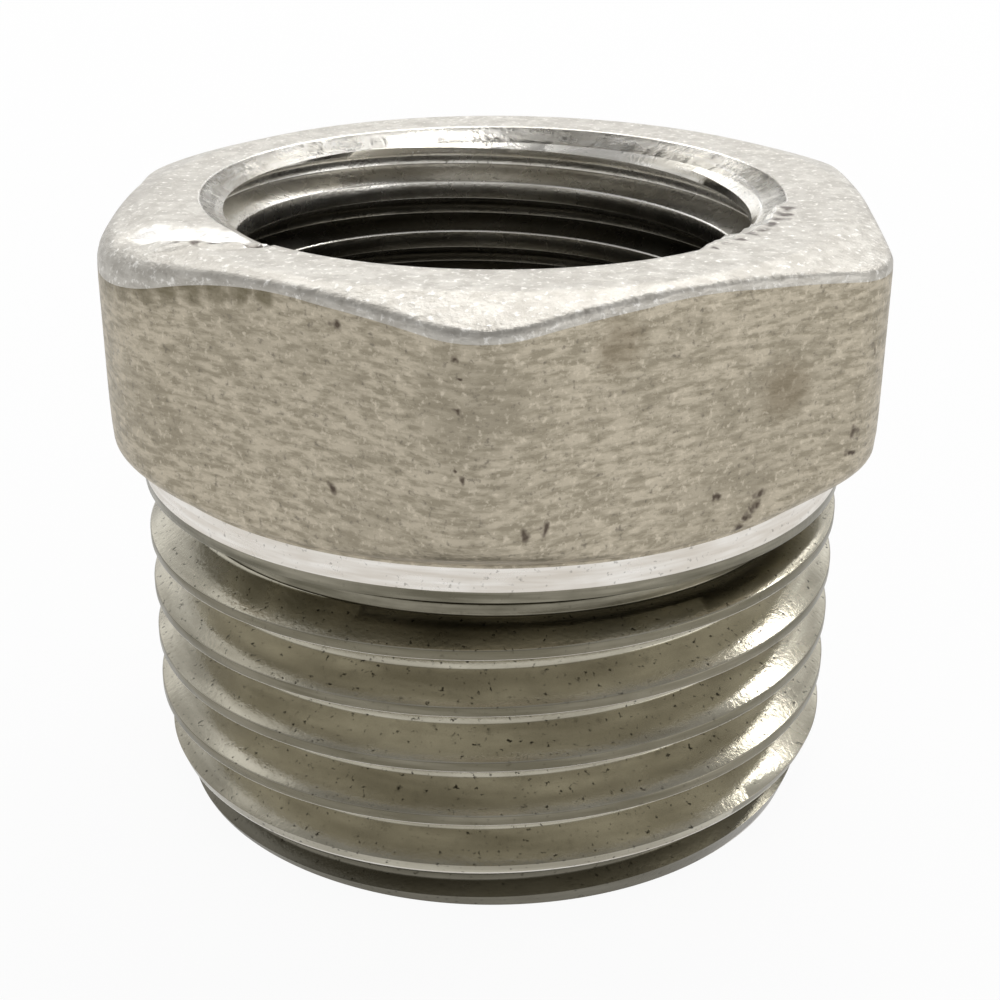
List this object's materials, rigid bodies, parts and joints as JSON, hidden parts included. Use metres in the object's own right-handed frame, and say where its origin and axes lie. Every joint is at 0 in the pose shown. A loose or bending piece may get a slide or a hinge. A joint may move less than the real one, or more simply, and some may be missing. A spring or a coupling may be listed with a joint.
{
  "type": "hex reducing bushing",
  "caption": "Pipe fitting with a hexagonal head, a male pipe thread below it and a smaller female thread in the bore through its middle.",
  "frame": {"origin": "centre of the threaded end's face, which the bushing stands on", "axes": "+Z along the pipe's axis from the threaded end to the hexagon; one corner of the hexagon points along -Y"},
  "size_m": [0.017, 0.019, 0.0143],
  "materials": {
    "steel": "cast stainless steel, turned on the threads, the collar and the mouth"
  },
  "bodies": {
    "root": {"hex_bushing": "steel"}
  },
  "joints": []
}
